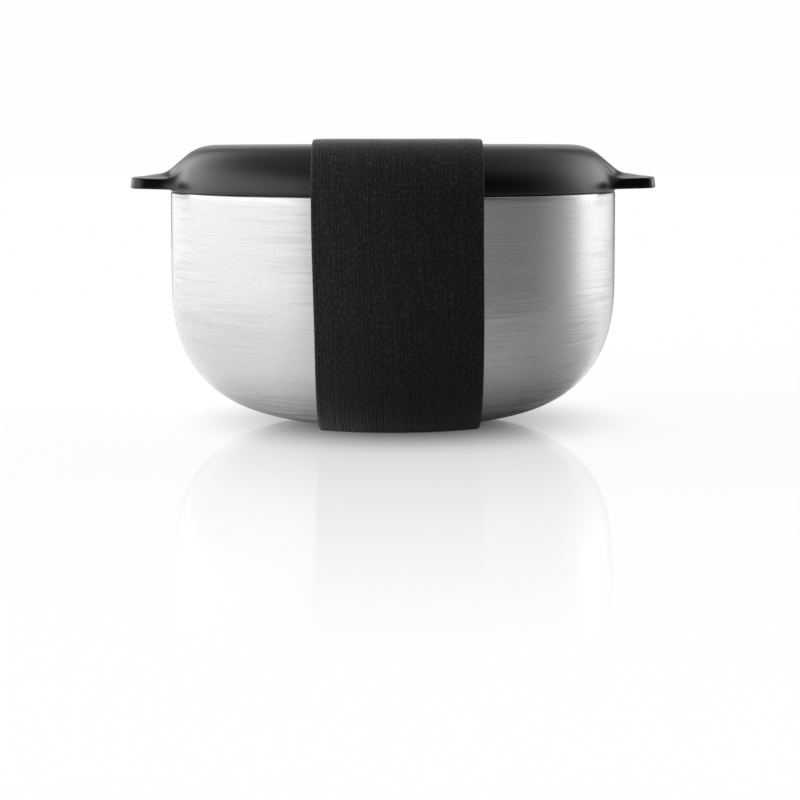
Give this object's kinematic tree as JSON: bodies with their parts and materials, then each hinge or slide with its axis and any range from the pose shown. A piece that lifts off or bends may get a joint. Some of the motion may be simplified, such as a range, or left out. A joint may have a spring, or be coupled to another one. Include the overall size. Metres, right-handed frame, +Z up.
{
  "type": "insulated bowl with lid",
  "caption": "Double-walled steel food bowl with a domed plastic lid, two lift ears and a wide elastic band round both.",
  "frame": {"origin": "under the middle of the bowl, on the surface that it stands on", "axes": "+Z up along the bowl's axis; the lid's ears point along +X and -X, and the band runs over the lid from front (-Y) to back (+Y)"},
  "size_m": [0.171, 0.1488, 0.0927],
  "materials": {
    "brushed_steel": "brushed round the bowl",
    "inner_steel": "satin",
    "foil": "bright",
    "getter": "sintered",
    "black_plastic": "moulded, finely matt",
    "foam": "moulded foam",
    "silicone": "matt",
    "elastic": "ribbed woven elastic",
    "thread": "twisted polyester thread"
  },
  "bodies": {
    "bowl": {"outer_shell": "brushed_steel", "inner_liner": "inner_steel", "heat_foil": "foil", "getter_cup": "inner_steel", "getter_pellet": "getter", "port_seal": "getter", "base_cap": "brushed_steel"},
    "band": {"elastic_band": "elastic", "band_stitching": "thread"},
    "lid": {"lid_cover": "black_plastic", "lid_liner": "black_plastic", "lid_foam": "foam", "lid_gasket": "silicone"}
  },
  "joints": [
    {"name": "band_turn", "type": "hinge", "parent": "bowl", "child": "band", "pos_m": [0, 0, 0.04], "axis": [0, 0, 1], "continuous": true},
    {"name": "lid_lift", "type": "slide", "parent": "band", "child": "lid", "axis": [0, 0, 1], "range_m": [0, 0.035], "deforming": ["elastic_band"]}
  ]
}
